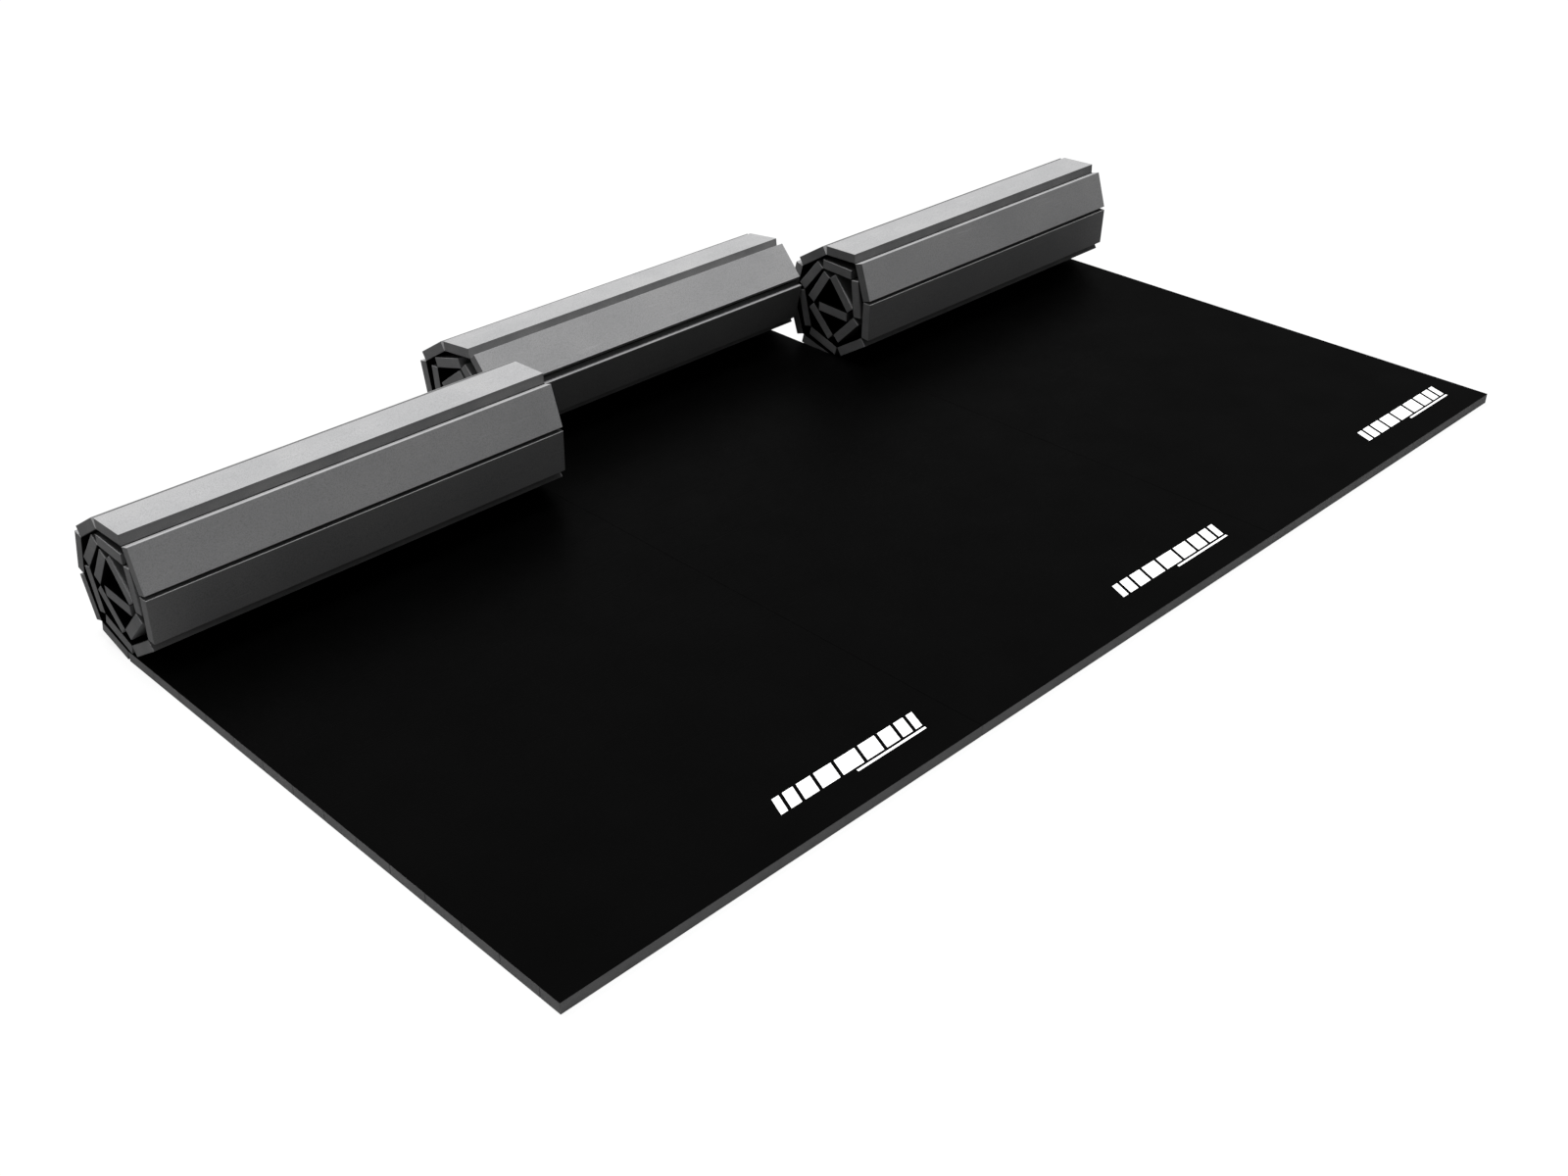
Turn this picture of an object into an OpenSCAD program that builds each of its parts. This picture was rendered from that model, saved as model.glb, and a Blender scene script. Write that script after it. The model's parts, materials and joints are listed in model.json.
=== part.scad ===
// Roll-out training mat set: three strips lie side by side, each partly rolled up from its rear end.
// A strip is a row of foam slats under one vinyl skin. The skin is the only thing that joins two
// slats, so it is their hinge, and the strip rolls up with the skin inside and the foam outside.
// +X runs across the set, +Y from the front edge towards the rolls, +Z up.
// The origin is under the middle of the whole set, on the floor.

/* [Strip] */
// Width of one strip
strip_w = 1523; // [900:1:1830]
// Gap between neighbouring strips
strip_gap = 1; // [1:0.5:5]
// Thickness of a strip, skin included
mat_t = 38.1; // [25:0.1:38.1]
// Thickness of the vinyl skin
skin_t = 1.2; // [0.8:0.1:2]
// Thickness of the glue between the skin and the foam, left open
glue_t = 0.1; // [0.05:0.05:0.3]

/* [Slats] */
// Pitch of the foam slats
slat_pitch = 152.4; // [152.4:0.1:160]
// Width of the cut between two slats
kerf = 0.8; // [0.6:0.1:1]
// Length of the shorter slat at the front edge
front_slat = 76.2; // [40:0.1:152.4]
// Whole slats that lie flat in each outer strip
outer_laid = 13; // [4:1:20]
// Further slats that lie flat in the middle strip
middle_extra = 3; // [0:1:6]

/* [Printed mark] */
// Distance from a strip's left edge to the mark
mark_x = 842; // [20:1:880]
// Distance from the front edge to the mark
mark_y = 104; // [20:1:300]
// Height of the mark's bars
mark_h = 64; // [20:1:90]
// Thickness of the print
mark_t = 0.2; // [0.1:0.1:0.5]

/* [Hidden] */
// Bend at each hinge of a roll in degrees, from the laid part to the inner end
outer_bends = [15, 57, 34, 42, 30, 74, 20, 56, 50, 58, 54, 52, 82, 51, 90, 79, 107, 131];
middle_bends = [52, 28, 68, 25, 55, 55, 49, 60, 53, 79, 62, 84, 90, 104, 148];

// Each strip: name, place from the left, whole slats laid flat, bends of its roll
STRIPS = [
    ["left", 0, outer_laid, outer_bends],
    ["middle", 1, outer_laid + middle_extra, middle_bends],
    ["right", 2, outer_laid, outer_bends]
];

// The mark: how far each bar leans over its height, the gap between bars, and the bars' widths
mark_lean = 0.42;
bar_gap = 13;
bar_widths = [26, 40, 54, 68, 82, 68, 54, 40, 26];
line_h = 8;
line_gap = 9;

foam_colour = [0.27, 0.27, 0.28];
skin_colour = [0.06, 0.06, 0.06];
mark_colour = [0.95, 0.95, 0.95];

function total(v, n) = n == 0 ? 0 : v[n - 1] + total(v, n - 1);
function two_digits(n) = n < 10 ? str("0", n) : str(n);

// Heading of slat k of a roll, in degrees up from +Y, and the two directions that belong to it
function heading(bends, k) = total(bends, k + 1);
function along(angle) = [cos(angle), sin(angle)];
function outwards(angle) = [sin(angle), -cos(angle)];

// Hinge k of a roll in Y and Z, on the skin's top face, measured from the front edge
function laid_length(strip) = front_slat + strip[2] * slat_pitch;
function hinge(strip, k) =
    k == 0 ? [laid_length(strip), mat_t]
    : hinge(strip, k - 1) + slat_pitch * along(heading(strip[3], k - 1));

// The furthest point behind the front edge, over both outer corners of every rolled slat
function reach(strip) = max([
    for (k = [0 : len(strip[3]) - 1], end = [0, 1])
        (hinge(strip, k + end) + mat_t * outwards(heading(strip[3], k)))[0]
]);
set_w = 3 * strip_w + 2 * strip_gap;
set_l = max([for (strip = STRIPS) reach(strip)]);

// Children stand at the strip's own front left corner, on the floor
module at_strip(strip) {
    x = strip[1] * (strip_w + strip_gap) - set_w / 2;
    translate([x, -set_l / 2, 0]) children();
}

// One foam slat of a given length whose skin side is at z = 0
module foam_slat(length) {
    color(foam_colour)
    translate([0, 0, -mat_t])
        cube([strip_w, length, mat_t - skin_t - glue_t]);
}

module skin_panel(length) {
    color(skin_colour)
    translate([0, 0, -skin_t])
        cube([strip_w, length, skin_t]);
}

// The separate foam slats under the flat part of a strip
module laid_foam(strip) {
    at_strip(strip) {
        translate([0, 0, mat_t])
            foam_slat(front_slat - kerf / 2);
        for (k = [0 : strip[2] - 1])
            translate([0, front_slat + k * slat_pitch + kerf / 2, mat_t])
                foam_slat(slat_pitch - kerf);
    }
}

// The unbroken skin over the flat part of a strip
module laid_vinyl(strip) {
    at_strip(strip)
        translate([0, 0, mat_t])
            skin_panel(laid_length(strip) - kerf / 2);
}

// A row of leaning bars over a thin line, printed on the skin
module mark(strip) {
    lean = mark_h * mark_lean;
    steps = [for (n = [0 : len(bar_widths)]) total(bar_widths, n) + n * bar_gap];
    line_l = steps[len(bar_widths)] - bar_gap;
    at_strip(strip)
    translate([mark_x, mark_y, mat_t])
    color(mark_colour) {
        for (n = [0 : len(bar_widths) - 1])
            translate([steps[n], line_h + line_gap, 0])
                linear_extrude(mark_t)
                    polygon([[0, 0], [bar_widths[n], 0], [bar_widths[n] + lean, mark_h], [lean, mark_h]]);
        translate([line_l / 2, 0, 0])
            cube([line_l / 2, line_h, mark_t]);
    }
}

// Rolled slat k with its own panel of the skin, turned about its hinge
module rolled_slat(strip, k) {
    at_strip(strip)
    translate([0, hinge(strip, k)[0], hinge(strip, k)[1]])
    rotate([heading(strip[3], k), 0, 0])
    translate([0, kerf / 2, 0]) {
        foam_slat(slat_pitch - kerf);
        skin_panel(slat_pitch - kerf);
    }
}

for (strip = STRIPS) {
    name = strip[0];
    laid_foam(strip);
    laid_vinyl(strip);
    mark(strip);
    for (k = [0 : len(strip[3]) - 1]) {
        slat_name = str(name, "_slat_", two_digits(k + 1));
        rolled_slat(strip, k);
    }
}
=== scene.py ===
"""Set of three slatted roll-out training mats, each partly rolled up. Lengths are in metres.

A strip is a row of foam slats under one vinyl skin, which is the hinge between any two slats.
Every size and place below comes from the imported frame; the named values only add what the frame
doesn't hold, such as edge rounding, the skin's creases and the finish of each material.
"""
import json
import math
import bmesh
import bpy
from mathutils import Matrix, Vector, noise


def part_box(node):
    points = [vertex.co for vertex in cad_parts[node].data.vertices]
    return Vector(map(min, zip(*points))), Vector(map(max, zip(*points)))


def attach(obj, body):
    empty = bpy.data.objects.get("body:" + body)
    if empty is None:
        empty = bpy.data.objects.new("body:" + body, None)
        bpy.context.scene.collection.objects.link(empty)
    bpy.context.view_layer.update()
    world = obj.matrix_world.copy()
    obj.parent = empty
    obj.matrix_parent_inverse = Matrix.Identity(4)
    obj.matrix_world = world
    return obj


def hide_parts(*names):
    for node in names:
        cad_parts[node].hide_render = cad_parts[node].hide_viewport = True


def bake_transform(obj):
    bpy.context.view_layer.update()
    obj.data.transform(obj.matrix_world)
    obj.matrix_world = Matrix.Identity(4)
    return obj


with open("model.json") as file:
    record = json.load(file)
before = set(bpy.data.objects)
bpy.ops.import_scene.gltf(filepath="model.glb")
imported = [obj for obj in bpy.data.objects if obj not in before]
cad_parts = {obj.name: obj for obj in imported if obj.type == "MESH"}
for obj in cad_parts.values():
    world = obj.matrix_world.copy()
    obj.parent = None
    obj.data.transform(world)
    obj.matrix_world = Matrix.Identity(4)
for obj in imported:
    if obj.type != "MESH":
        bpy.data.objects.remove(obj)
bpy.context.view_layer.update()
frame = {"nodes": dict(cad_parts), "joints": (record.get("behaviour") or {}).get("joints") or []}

STRIPS = ("left", "middle", "right")
MM = 0.001

# Foam slats
OUTER_EDGE_R = 1.0 * MM     # rounding of a slat's long edges on the floor side
SKIN_EDGE_R = 0.5 * MM      # the same on the skin side
END_EDGE_R = 1.2 * MM       # rounding round a slat's two ends
LEAST_R = 0.1 * MM          # smallest corner radius in a section that is drawn in
CORNER_STEPS = 4            # segments in each rounded corner
SLAT_STATIONS = 25          # sections along a slat, between its rounded ends
SAW_WANDER = 0.45 * MM      # how far a cut wall may fall short of its true plane
FACE_WANDER = 0.30 * MM     # the same for the floor side
SAW_RATE = 5                # noise cells per metre along a wall
FACE_RATE = (4, 9)          # noise cells per metre of a floor side, along the slat and across it
SLAT_SEED = (3.1, 7.3)      # noise cells per metre of X and Y that set one slat apart from the next
WALL_SEED = 4               # noise cells that set a slat's two cut walls apart
GLUE_LINE = 0.05 * MM       # space between the skin and the foam

# Vinyl skin
SKIN_EDGE_DROP = 0.4 * MM   # rounding of the skin's trimmed edges
CREASE_HALF = 5.0 * MM      # half the width of the shallow crease over each cut
CREASE_DEPTH = 0.22 * MM
CREASE_SIDE = (1.4, 1, 0.6, 0.3, 0.1)         # points beside a cut, as shares of CREASE_HALF
EDGE_STATIONS = (0, 0.12, 0.4, 1, 2.5)        # points from a trimmed edge, as shares of SKIN_EDGE_DROP
FOLD_CLEAR = 6.0 * MM       # stretch beside a fold that has no points of its own
ARC_STEP = math.radians(12)                   # widest segment in the arc under a fold
SHARP_EDGE = math.radians(28)                 # edges that turn further than this stay sharp
SKIN_STATIONS = 13          # sections across the strip
WELD = 0.002 * MM           # points closer than this are joined

# Camera, at the set's front left, looking across it
CAMERA_PLACE = (-4.007, -3.789, 2.999)
CAMERA_TURN = (58.14, 0, -45)
CAMERA_LENS = 40.54
CAMERA_SENSOR = 36

# Light: a sun's strength is its irradiance on a face square to it, a sky's is its radiance
TOP_LIGHT = {"strength": 4.15, "elevation": 90, "azimuth": 0, "softness": 16}
BACK_LIGHT = {"strength": 2.6, "elevation": 60, "azimuth": 0, "softness": 24}
SKY_HORIZON = 0.02
SKY_ZENITH = 0.31
SKY_LEAN = 0.6              # how much brighter than its middle the sky's +X side is, as a share
FLOOR_BOUNCE = 0.175        # albedo of the floor that lights the object from below
FLOOR_GLOW = 0.88           # white that the seen floor gives off, whatever light falls on it
FLOOR_ALBEDO = 0.07         # what the seen floor adds from the light, which is what shadows take away
STAGE_REACH = 40            # half the floor's width
BACKDROP_RADIUS = 36        # the white sphere round the stage
BOUNCE_DROP = 1.0 * MM      # how far the bouncing floor lies under the seen one
SUN_DISTANCE = 5            # where a sun's object stands, which doesn't change its light


# ---------------------------------------------------------------- node helpers

def new_material(name, base, roughness, specular):
    """A material, its node tree and its Principled shader, with its plain values set."""
    material = bpy.data.materials.new(name)
    material.use_nodes = True
    tree = material.node_tree
    shader = tree.nodes["Principled BSDF"]
    shader.inputs["Base Color"].default_value = (*base, 1)
    shader.inputs["Roughness"].default_value = roughness
    shader.inputs["Specular IOR Level"].default_value = specular
    return material, tree, shader


def object_coordinates(tree, stretch=(1, 1, 1)):
    """A point's place on the object; a larger stretch makes a texture shorter along that axis."""
    place = tree.nodes.new("ShaderNodeTexCoord")
    mapping = tree.nodes.new("ShaderNodeMapping")
    mapping.inputs["Scale"].default_value = stretch
    tree.links.new(place.outputs["Object"], mapping.inputs["Vector"])
    return mapping.outputs["Vector"]


def noise_texture(tree, vector, scale, detail=3, roughness=0.55):
    node = tree.nodes.new("ShaderNodeTexNoise")
    node.inputs["Scale"].default_value = scale
    node.inputs["Detail"].default_value = detail
    node.inputs["Roughness"].default_value = roughness
    tree.links.new(vector, node.inputs["Vector"])
    return node.outputs["Fac"]


def cell_texture(tree, vector, scale, feature="F1"):
    node = tree.nodes.new("ShaderNodeTexVoronoi")
    node.feature = feature
    node.inputs["Scale"].default_value = scale
    tree.links.new(vector, node.inputs["Vector"])
    return node.outputs["Distance"]


def ramp(tree, value, stops):
    """A ramp over value; its stops are (place, grey) or (place, (r, g, b))."""
    node = tree.nodes.new("ShaderNodeValToRGB")
    elements = node.color_ramp.elements
    while len(elements) < len(stops):
        elements.new(0.5)
    for element, (place, colour) in zip(elements, stops):
        element.position = place
        rgb = colour if isinstance(colour, tuple) else (colour,) * 3
        element.color = (*rgb, 1)
    tree.links.new(value, node.inputs["Fac"])
    return node.outputs["Color"]


def combine(tree, how, first, second):
    """Two colours, multiplied or added."""
    node = tree.nodes.new("ShaderNodeMix")
    node.data_type = "RGBA"
    node.blend_type = how
    sockets = {socket.name: socket for socket in node.inputs if socket.enabled}
    sockets["Factor"].default_value = 1
    tree.links.new(first, sockets["A"])
    tree.links.new(second, sockets["B"])
    return next(socket for socket in node.outputs if socket.enabled)


def bump(tree, height, strength, distance, under=None):
    """A bumped normal, on top of another one if under is given."""
    node = tree.nodes.new("ShaderNodeBump")
    node.inputs["Strength"].default_value = strength
    node.inputs["Distance"].default_value = distance
    tree.links.new(height, node.inputs["Height"])
    if under is not None:
        tree.links.new(under, node.inputs["Normal"])
    return node.outputs["Normal"]


# ---------------------------------------------------------------- materials

def foam_face_material():
    """The moulded face of cross-linked foam: a tight matt skin with a fine orange-peel surface."""
    material, tree, shader = new_material("foam_face", (0.26, 0.26, 0.265), 0.85, 0.22)
    place = object_coordinates(tree)
    clouds = ramp(tree, noise_texture(tree, place, scale=4.5, detail=5), [
        (0.30, (0.245, 0.246, 0.249)),
        (0.52, (0.262, 0.262, 0.265)),
        (0.72, (0.278, 0.277, 0.278))])
    specks = ramp(tree, noise_texture(tree, place, scale=260, detail=2), [
        (0.30, 0.80), (0.50, 1.0), (0.72, 1.10)])
    along = object_coordinates(tree, stretch=(1.6, 26, 26))
    scuffs = ramp(tree, noise_texture(tree, along, scale=3, detail=4, roughness=0.6), [
        (0.62, 1.0), (0.74, 1.14)])
    colour = combine(tree, "MULTIPLY", combine(tree, "MULTIPLY", clouds, specks), scuffs)
    tree.links.new(colour, shader.inputs["Base Color"])
    rough = ramp(tree, noise_texture(tree, place, scale=18, detail=4), [(0.3, 0.74), (0.7, 0.94)])
    tree.links.new(rough, shader.inputs["Roughness"])
    dents = noise_texture(tree, place, scale=35)
    peel = cell_texture(tree, place, scale=620, feature="SMOOTH_F1")
    coarse = bump(tree, dents, strength=0.25, distance=0.6 * MM)
    fine = bump(tree, peel, strength=0.35, distance=0.3 * MM, under=coarse)
    tree.links.new(fine, shader.inputs["Normal"])
    return material


def foam_cut_material():
    """Sawn foam: open-celled, so the wall is grainier. Its colour paints shade into each pit and a
    highlight onto the cell walls.
    """
    material, tree, shader = new_material("foam_cut", (0.27, 0.27, 0.275), 0.95, 0.12)
    place = object_coordinates(tree)
    pores = cell_texture(tree, place, scale=540)
    # painted shade and highlight: darker in each pit of the cut, lighter on the cell walls round it
    pore_shade = ramp(tree, pores, [(0.05, 0.74), (0.35, 1.0), (0.75, 1.14)])
    clouds = ramp(tree, noise_texture(tree, place, scale=9, detail=4), [
        (0.30, (0.212, 0.213, 0.216)),
        (0.70, (0.262, 0.261, 0.262))])
    tree.links.new(combine(tree, "MULTIPLY", clouds, pore_shade), shader.inputs["Base Color"])
    along = object_coordinates(tree, stretch=(7, 90, 90))
    chatter = noise_texture(tree, along, scale=5, detail=2)
    saw_marks = bump(tree, chatter, strength=0.30, distance=0.5 * MM)
    pits = bump(tree, pores, strength=0.55, distance=0.5 * MM, under=saw_marks)
    tree.links.new(pits, shader.inputs["Normal"])
    return material


def vinyl_material():
    """Black matt vinyl with a fine pebble grain, faint scuffs and a slightly uneven sheen."""
    material, tree, shader = new_material("vinyl", (0.0004, 0.0004, 0.0004), 0.4, 0.14)
    place = object_coordinates(tree)
    tone = ramp(tree, noise_texture(tree, place, scale=2.2, detail=5), [
        (0.35, 0.0003), (0.65, 0.0005)])
    across = object_coordinates(tree, stretch=(5, 1.2, 1))
    scuffs = ramp(tree, noise_texture(tree, across, scale=7, detail=6, roughness=0.65), [
        (0.66, 0.0), (0.80, 0.0006)])
    tree.links.new(combine(tree, "ADD", tone, scuffs), shader.inputs["Base Color"])
    rough = ramp(tree, noise_texture(tree, place, scale=5.5, detail=6), [(0.3, 0.36), (0.7, 0.46)])
    tree.links.new(rough, shader.inputs["Roughness"])
    swell = noise_texture(tree, place, scale=14, detail=2)
    pebbles = cell_texture(tree, place, scale=420, feature="SMOOTH_F1")
    waves = bump(tree, swell, strength=0.10, distance=0.8 * MM)
    grain = bump(tree, pebbles, strength=0.8, distance=0.4 * MM, under=waves)
    tree.links.new(grain, shader.inputs["Normal"])
    return material


def print_material():
    """White screen-printed ink: finely grained, and thin in a few small spots."""
    material, tree, shader = new_material("white_print", (0.8, 0.8, 0.8), 0.5, 0.3)
    place = object_coordinates(tree)
    thin = ramp(tree, noise_texture(tree, place, scale=70, detail=5, roughness=0.7), [
        (0.30, (0.62, 0.62, 0.63)),
        (0.42, (0.80, 0.80, 0.80)),
        (0.70, (0.86, 0.86, 0.855))])
    tree.links.new(thin, shader.inputs["Base Color"])
    rough = ramp(tree, noise_texture(tree, place, scale=30), [(0.3, 0.42), (0.7, 0.60)])
    tree.links.new(rough, shader.inputs["Roughness"])
    pebbles = cell_texture(tree, place, scale=520, feature="SMOOTH_F1")
    grain = bump(tree, pebbles, strength=0.30, distance=0.25 * MM)
    tree.links.new(grain, shader.inputs["Normal"])
    return material


FOAM_FACE = foam_face_material()
FOAM_CUT = foam_cut_material()
VINYL = vinyl_material()
PRINT = print_material()


# ---------------------------------------------------------------- geometry of a strip

class Strip:
    """One strip's sizes and hinges, from the frame. A slat's heading turns up from +Y, towards +Z."""

    def __init__(self, name):
        self.name = name
        skin_low, skin_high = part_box(name + "_laid_vinyl")
        joints = [j for j in frame["joints"] if j["child"].startswith(name + "_slat_")]
        joints.sort(key=lambda j: j["child"])
        self.bodies = ["laid_strips"] + [j["child"] for j in joints]
        self.hinges = [Vector(j["pos_m"]) for j in joints]
        self.bends = [math.radians(j["range_deg"][1]) for j in joints]
        self.headings = [sum(self.bends[:k + 1]) for k in range(len(joints))]
        self.x0, self.x1 = skin_low.x, skin_high.x
        self.front = skin_low.y
        self.pitch = (self.hinges[1] - self.hinges[0]).length
        # the flat skin ends half a cut before the first hinge
        self.kerf = 2 * (self.hinges[0].y - skin_high.y)
        self.thick = skin_high.z
        self.skin = skin_high.z - skin_low.z
        self.laid_count = int((self.hinges[0].y - self.front) / self.pitch)
        self.front_length = self.hinges[0].y - self.front - self.laid_count * self.pitch

    def width(self):
        return self.x1 - self.x0

    def laid_cuts(self):
        """Y of each cut under the flat part of the skin."""
        return [self.front + self.front_length + n * self.pitch for n in range(self.laid_count)]


def placed(origin, heading, s, depth):
    """The point s along a slat from its hinge and depth below the skin's top face."""
    along = Vector((0, math.cos(heading), math.sin(heading)))
    outwards = Vector((0, math.sin(heading), -math.cos(heading)))
    return origin + s * along + depth * outwards


def mesh_object(name, verts, faces, materials, face_slots=None):
    """A smooth-shaded object at the origin; face_slots gives each face's place in materials."""
    mesh = bpy.data.meshes.new(name)
    mesh.from_pydata(verts, [], faces)
    for material in materials:
        mesh.materials.append(material)
    if face_slots:
        mesh.polygons.foreach_set("material_index", face_slots)
    mesh.polygons.foreach_set("use_smooth", [True] * len(mesh.polygons))
    mesh.update()
    obj = bpy.data.objects.new(name, mesh)
    bpy.context.scene.collection.objects.link(obj)
    return obj


def rounded_profile(s0, s1, d0, d1, inset, skin_r, outer_r):
    """A slat's section, drawn in by inset, as points (s, depth, wall, outer).

    wall is -1 towards the wall at s0 and 1 towards the one at s1. outer is true on the floor side.
    """
    points = []
    corners = (
        (s0, d0, 180, skin_r),
        (s1, d0, 270, skin_r),
        (s1, d1, 0, outer_r),
        (s0, d1, 90, outer_r),
    )
    for s, d, first, radius in corners:
        r = max(radius - inset, LEAST_R)
        cs = s + (r + inset) * (1 if s == s0 else -1)
        cd = d + (r + inset) * (1 if d == d0 else -1)
        for n in range(CORNER_STEPS + 1):
            a = math.radians(first + 90 * n / CORNER_STEPS)
            wall = -1 if s == s0 else 1
            points.append((cs + r * math.cos(a), cd + r * math.sin(a), wall, d == d1))
    return points


def short_of_true(limit, place):
    """A smoothly changing amount from 0 to limit."""
    return limit * (0.5 + 0.5 * noise.noise(place))


def slat_stations(width):
    """Sections along a slat as (x, inset): close together round its two ends, even between them."""
    quarter = [math.radians(90 * n / CORNER_STEPS) for n in range(CORNER_STEPS + 1)]
    lead = [(END_EDGE_R * (1 - math.cos(a)), END_EDGE_R * (1 - math.sin(a))) for a in quarter]
    step = (width - 2 * END_EDGE_R) / (SLAT_STATIONS - 1)
    inner = [(END_EDGE_R + step * n, 0) for n in range(1, SLAT_STATIONS - 1)]
    return lead + inner + [(width - x, inset) for x, inset in reversed(lead)]


def slat_verts(strip, origin, heading, length, first_cut):
    """Points of a slat. Without first_cut it starts at its origin, not half a cut later."""
    half = strip.kerf / 2
    s0, s1 = (half if first_cut else 0), length - half
    d0, d1 = strip.skin + GLUE_LINE, strip.thick
    seed = SLAT_SEED[0] * strip.x0 + SLAT_SEED[1] * origin.y + heading
    verts = []
    for x, inset in slat_stations(strip.width()):
        for s, d, wall, outer in rounded_profile(s0, s1, d0, d1, inset, SKIN_EDGE_R, OUTER_EDGE_R):
            cut = short_of_true(SAW_WANDER, (x * SAW_RATE, seed + wall * WALL_SEED, 0))
            face = 0
            if outer:
                face = short_of_true(FACE_WANDER, (x * FACE_RATE[0], seed, s * FACE_RATE[1]))
            place = placed(origin, heading, s - wall * cut, d - face)
            verts.append(place + Vector((strip.x0 + x, 0, 0)))
    return verts


def slat_faces(stations):
    """Faces of a slat, with a slot for each: 0 on a moulded side, 1 on a cut wall or an end."""
    count = 4 * (CORNER_STEPS + 1)
    walls = (2 * CORNER_STEPS + 1, count - 1)
    faces = []
    slots = []
    for i in range(stations - 1):
        on_end = i < CORNER_STEPS or i >= stations - 1 - CORNER_STEPS
        for n in range(count):
            m = (n + 1) % count
            faces.append((i * count + n, i * count + m, (i + 1) * count + m, (i + 1) * count + n))
            slots.append(1 if on_end or n in walls else 0)
    last = (stations - 1) * count
    faces.append(tuple(range(count)))
    faces.append(tuple(range(last + count - 1, last - 1, -1)))
    slots += [1, 1]
    return faces, slots


def foam_slat(strip, name, body, origin, heading, length, node, first_cut=True):
    """One foam slat, sawn from a sheet: rounded edges, and walls that wander a little off true."""
    verts = slat_verts(strip, origin, heading, length, first_cut)
    faces, slots = slat_faces(len(slat_stations(strip.width())))
    obj = mesh_object(name, verts, faces, [FOAM_FACE, FOAM_CUT], slots)
    obj.modifiers.new("face weights", "WEIGHTED_NORMAL")
    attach(obj, body)
    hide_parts(node)
    return obj


def edge_drop(distance):
    """How far the skin's top face drops at a distance from a trimmed edge, as a quarter round."""
    if distance >= SKIN_EDGE_DROP:
        return 0
    return SKIN_EDGE_DROP - math.sqrt(SKIN_EDGE_DROP ** 2 - (SKIN_EDGE_DROP - distance) ** 2)


def edge_stations():
    """Places from a trimmed edge inwards, close together over its rounding."""
    return [SKIN_EDGE_DROP * share for share in EDGE_STATIONS]


def skin_mesh(strip, name, pairs):
    """A solid skin from its section: pairs of a top and a bottom place, carried across the strip."""
    inner = [strip.width() * n / (SKIN_STATIONS - 1) for n in range(1, SKIN_STATIONS - 1)]
    edge = edge_stations()
    across = edge + inner + [strip.width() - x for x in reversed(edge)]
    verts = []
    for x in across:
        drop = edge_drop(min(x, strip.width() - x))
        for top, bottom in pairs:
            down = (bottom - top).normalized() * drop
            side = Vector((strip.x0 + x, 0, 0))
            verts += [top + down + side, bottom + side]
    row = 2 * len(pairs)
    faces = []
    for i in range(len(across) - 1):
        a, b = i * row, (i + 1) * row
        for n in range(len(pairs) - 1):
            t = 2 * n
            faces.append((a + t, b + t, b + t + 2, a + t + 2))
            faces.append((a + t + 1, a + t + 3, b + t + 3, b + t + 1))
        faces.append((a, a + 1, b + 1, b))
        faces.append((a + row - 2, b + row - 2, b + row - 1, a + row - 1))
    for n in range(len(pairs) - 1):
        t, last = 2 * n, (len(across) - 1) * row + 2 * n
        faces.append((t, t + 2, t + 3, t + 1))
        faces.append((last, last + 1, last + 3, last + 2))
    obj = mesh_object(name, verts, faces, [VINYL])
    weld(obj.data)
    obj.data.set_sharp_from_angle(angle=SHARP_EDGE)
    return obj


def weld(mesh):
    """Joins the points that a fold brings together, which also removes the empty faces there."""
    bm = bmesh.new()
    bm.from_mesh(mesh)
    bmesh.ops.remove_doubles(bm, verts=bm.verts, dist=WELD)
    bmesh.ops.dissolve_degenerate(bm, edges=bm.edges, dist=WELD / 2)
    bmesh.ops.recalc_face_normals(bm, faces=bm.faces)
    bm.to_mesh(mesh)
    bm.free()


def fold_pairs(strip, k):
    """The section over hinge k, from the middle of one slat to the middle or end of the next."""
    hinge, turn = strip.hinges[k], strip.bends[k]
    after = strip.headings[k]
    before = after - turn
    half = strip.pitch / 2
    last = k == len(strip.hinges) - 1
    end = strip.pitch - strip.kerf / 2 if last else half
    steps = max(2, math.ceil(turn / ARC_STEP))
    pairs = []
    for s in (-half, -half / 2, -FOLD_CLEAR):
        pairs.append((placed(hinge, before, s, 0), placed(hinge, before, s, strip.skin)))
    for n in range(steps + 1):
        heading = before + turn * n / steps
        pairs.append((hinge, placed(hinge, heading, 0, strip.skin)))
    for s in (FOLD_CLEAR, end / 2, end):
        pairs.append((placed(hinge, after, s, 0), placed(hinge, after, s, strip.skin)))
    return pairs


def laid_pairs(strip):
    """The section over the flat part, up to the first hinge, with a shallow crease over each cut."""
    places = [(strip.front + s, edge_drop(s)) for s in edge_stations()]
    shares = [-share for share in CREASE_SIDE] + [0] + list(reversed(CREASE_SIDE))
    for cut in strip.laid_cuts():
        for share in shares:
            depth = CREASE_DEPTH * max(0, 1 - abs(share)) ** 2
            places.append((cut + share * CREASE_HALF, depth))
    top = strip.thick
    return [(Vector((0, y, top - depth)), Vector((0, y, top - strip.skin))) for y, depth in places]


def fold_blend(obj):
    """Moves the skin's placement into its points, which leaves the object at the origin."""
    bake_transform(obj)


def vinyl_skin(strip, slats):
    """The skin in the pieces that the joints need: each meets the next in the middle of a slat."""
    for k in range(len(strip.hinges)):
        if k == 0:
            name, held = strip.name + "_skin", "laid"
            pairs = laid_pairs(strip) + fold_pairs(strip, k)[1:]
        else:
            name, held = f"{strip.name}_skin_fold_{k + 1:02d}", "folded"
            pairs = fold_pairs(strip, k)
        obj = skin_mesh(strip, name, pairs)
        fold_blend(obj)
        if k == 0:
            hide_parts(strip.name + "_laid_vinyl")
        strip.width()


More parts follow.
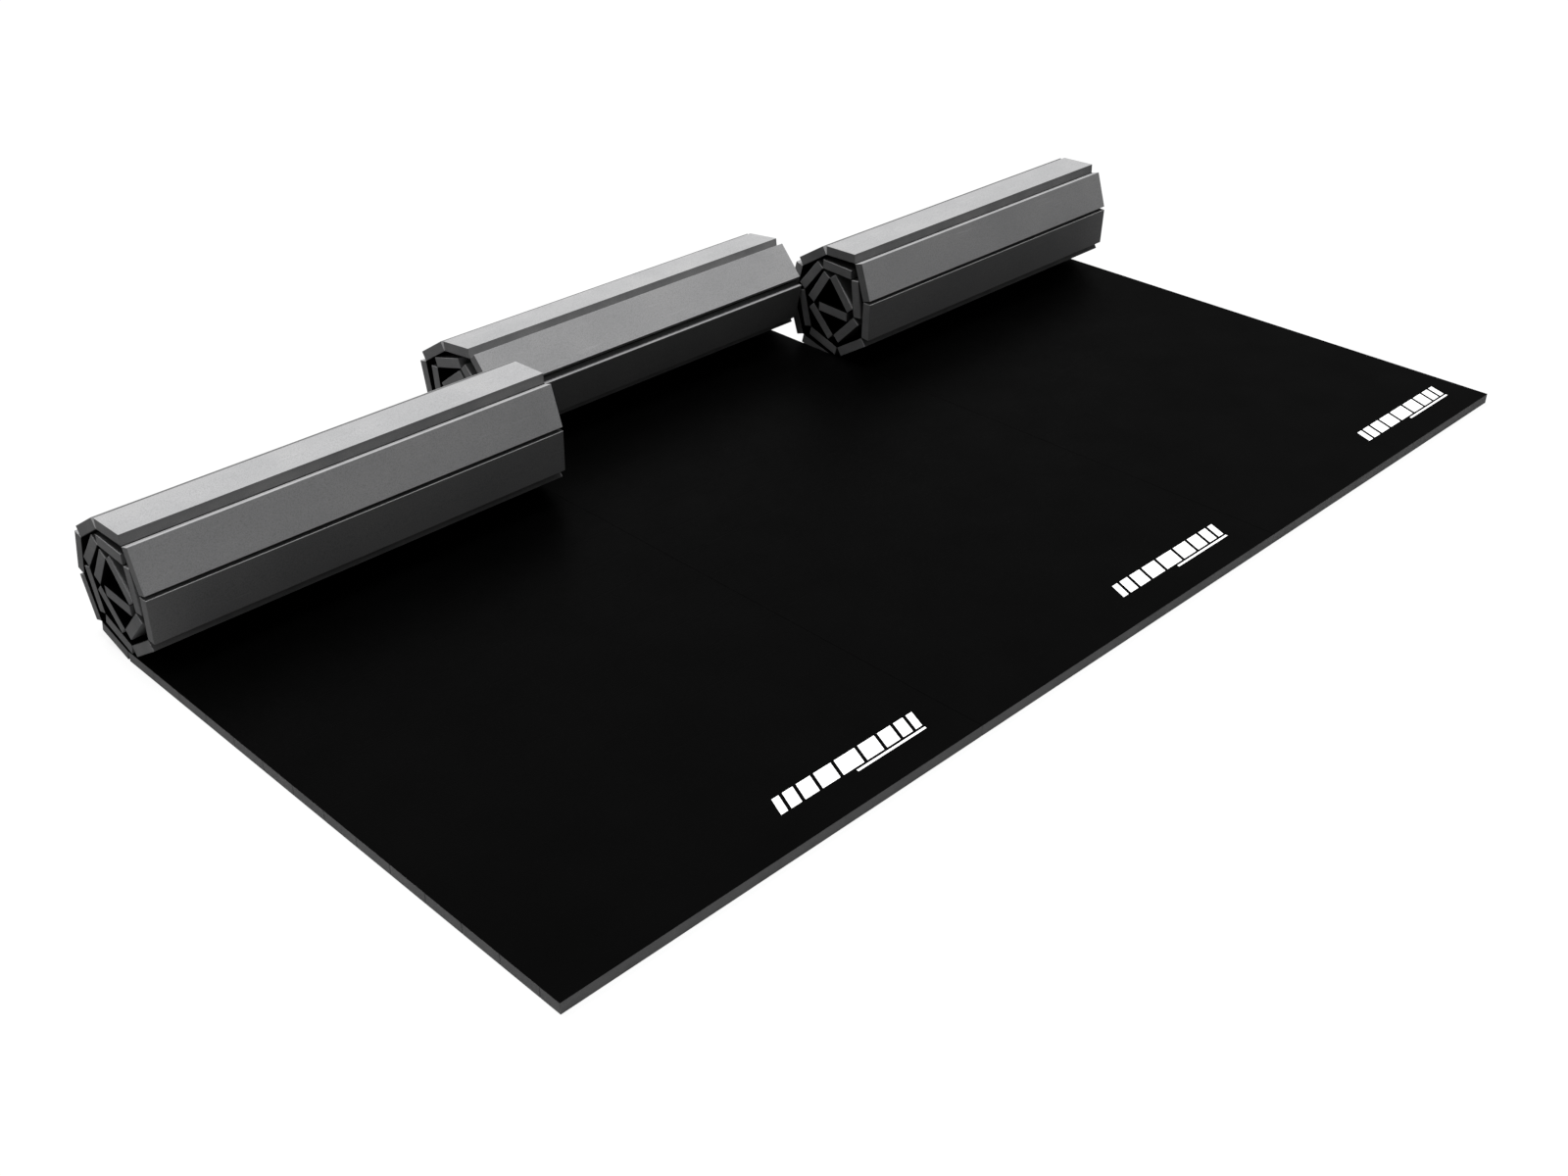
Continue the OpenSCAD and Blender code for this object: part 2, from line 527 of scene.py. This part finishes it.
def laid_slats(strip):
    """The slats under the flat part of a strip: a short one at the front edge, then whole ones."""
    node = strip.name + "_laid_foam"
    starts = [(strip.name + "_front_half_slat", strip.front, strip.front_length)]
    for n, cut in enumerate(strip.laid_cuts()):
        starts.append((f"{strip.name}_laid_slat_{n + 1:02d}", cut, strip.pitch))
    slats = []
    for name, y, length in starts:
        origin = Vector((0, y, strip.thick))
        first_cut = y > strip.front
        slats.append(foam_slat(strip, name, "laid_strips", origin, 0, length, node, first_cut))
    return slats


def rolled_slats(strip):
    slats = []
    for k, (hinge, heading) in enumerate(zip(strip.hinges, strip.headings)):
        body = strip.bodies[k + 1]
        name = f"{strip.name}_rolled_slat_{k + 1:02d}"
        slats.append(foam_slat(strip, name, body, hinge, heading, strip.pitch, body))
    return slats


def build_strip(strip):
    vinyl_skin(strip, laid_slats(strip) + rolled_slats(strip))
    mark = frame["nodes"][strip.name + "_mark"]
    mark.data.materials.clear()
    mark.data.materials.append(PRINT)


# ---------------------------------------------------------------- stage, light and camera

def only_seen_by_camera(obj):
    for ray in ("diffuse", "glossy", "transmission", "volume_scatter", "shadow"):
        setattr(obj, "visible_" + ray, False)


def stage_material(name, glow, albedo):
    """Matt white that gives off glow and throws back albedo of the light on it."""
    material = bpy.data.materials.new(name)
    material.use_nodes = True
    shader = material.node_tree.nodes["Principled BSDF"]
    shader.inputs["Base Color"].default_value = (albedo, albedo, albedo, 1)
    shader.inputs["Roughness"].default_value = 1
    shader.inputs["Specular IOR Level"].default_value = 0
    shader.inputs["Emission Color"].default_value = (1, 1, 1, 1)
    shader.inputs["Emission Strength"].default_value = glow
    return material


def stage():
    """A white floor and backdrop that only the camera sees, and a dim floor that bounces light."""
    r = STAGE_REACH
    floor_mesh = bpy.data.meshes.new("floor")
    floor_mesh.from_pydata([(-r, -r, 0), (r, -r, 0), (r, r, 0), (-r, r, 0)], [], [(0, 1, 2, 3)])
    floor = bpy.data.objects.new("floor", floor_mesh)
    floor.data.materials.append(stage_material("floor_white", FLOOR_GLOW, FLOOR_ALBEDO))
    bounce = bpy.data.objects.new("bounce_floor", floor_mesh.copy())
    bounce.data.materials.clear()
    bounce.data.materials.append(stage_material("floor_bounce", 0, FLOOR_BOUNCE))
    bounce.location.z = -BOUNCE_DROP
    bounce.visible_camera = False
    for obj in (floor, bounce):
        bpy.context.scene.collection.objects.link(obj)
    bpy.ops.mesh.primitive_uv_sphere_add(segments=48, ring_count=24, radius=BACKDROP_RADIUS)
    backdrop = bpy.context.object
    backdrop.name = "backdrop"
    backdrop.data.materials.append(stage_material("backdrop_white", 1.0, 0))
    only_seen_by_camera(floor)
    only_seen_by_camera(backdrop)


def sun(name, strength, elevation, azimuth, softness):
    """A distant light, in degrees: azimuth 0 is over +Y and 90 over +X. Nothing mirrors it."""
    light = bpy.data.lights.new(name, "SUN")
    light.energy = strength
    light.angle = math.radians(softness)
    obj = bpy.data.objects.new(name, light)
    e, a = math.radians(elevation), math.radians(azimuth)
    towards = Vector((math.sin(a) * math.cos(e), math.cos(a) * math.cos(e), math.sin(e)))
    obj.rotation_euler = towards.to_track_quat("Z", "Y").to_euler()
    obj.location = towards * SUN_DISTANCE
    obj.visible_glossy = False
    bpy.context.scene.collection.objects.link(obj)


def map_range(tree, value, low, high, from_low):
    """Value carried from the range from_low to 1 onto the range low to high."""
    node = tree.nodes.new("ShaderNodeMapRange")
    node.inputs["From Min"].default_value = from_low
    node.inputs["To Min"].default_value = low
    node.inputs["To Max"].default_value = high
    tree.links.new(value, node.inputs["Value"])
    return node.outputs["Result"]


def product(tree, first, second):
    node = tree.nodes.new("ShaderNodeMath")
    node.operation = "MULTIPLY"
    tree.links.new(first, node.inputs[0])
    tree.links.new(second, node.inputs[1])
    return node.outputs["Value"]


def sky():
    """White light from all round, stronger from above and from the +X side."""
    world = bpy.data.worlds.new("studio")
    world.use_nodes = True
    tree = world.node_tree
    background = tree.nodes["Background"]
    background.inputs["Color"].default_value = (1, 1, 1, 1)
    direction = tree.nodes.new("ShaderNodeTexCoord")
    axes = tree.nodes.new("ShaderNodeSeparateXYZ")
    tree.links.new(direction.outputs["Generated"], axes.inputs["Vector"])
    height = axes.outputs["Z"]
    rise = map_range(tree, product(tree, height, height), SKY_HORIZON, SKY_ZENITH, from_low=0)
    lean = map_range(tree, axes.outputs["X"], 1 - SKY_LEAN, 1 + SKY_LEAN, from_low=-1)
    tree.links.new(product(tree, rise, lean), background.inputs["Strength"])
    bpy.context.scene.world = world


def camera():
    data = bpy.data.cameras.new("camera")
    data.lens = CAMERA_LENS
    data.sensor_width = CAMERA_SENSOR
    obj = bpy.data.objects.new("camera", data)
    obj.location = CAMERA_PLACE
    obj.rotation_euler = [math.radians(a) for a in CAMERA_TURN]
    bpy.context.scene.collection.objects.link(obj)
    bpy.context.scene.camera = obj


camera()
sun("top_light", **TOP_LIGHT)
sun("back_light", **BACK_LIGHT)
sky()
stage()
for strip_name in STRIPS:
    build_strip(Strip(strip_name))

bpy.context.scene.view_settings.view_transform = "Standard"
